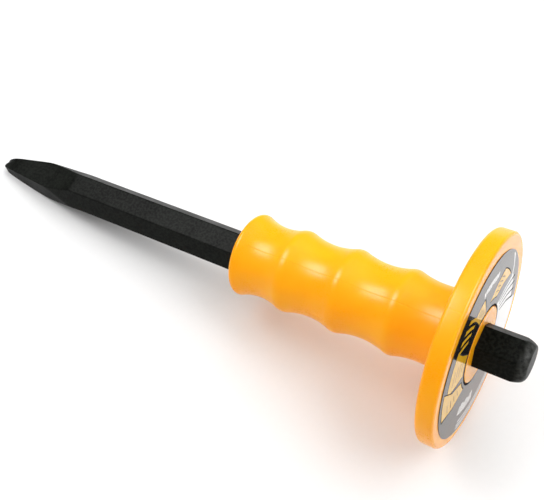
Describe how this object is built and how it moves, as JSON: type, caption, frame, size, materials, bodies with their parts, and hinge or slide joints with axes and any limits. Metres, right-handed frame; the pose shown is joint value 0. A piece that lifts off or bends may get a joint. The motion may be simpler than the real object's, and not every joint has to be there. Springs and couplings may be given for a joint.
{
  "type": "pointed concrete chisel",
  "caption": "Pointed hexagonal steel chisel with a black lacquered bar, an amber finger-grooved grip moulded with a round hand guard, and a printed ring label.",
  "frame": {"origin": "where the bar's axis meets the small four-sided face at the blunt end of the point", "axes": "+X along the bar from the point to the struck face, +Z the outward normal of one of the bar's flats, +Y completes the right-handed frame"},
  "size_m": [0.3, 0.096, 0.096],
  "materials": {
    "black_lacquer": "satin black lacquer over forged steel",
    "amber_vinyl": "soft satin moulded vinyl",
    "glossy_print": "glossy printed film, black with amber and white shapes"
  },
  "bodies": {
    "root": {"chisel_bar": "black_lacquer", "hand_guard_grip": "amber_vinyl", "guard_label": "glossy_print"}
  },
  "joints": []
}
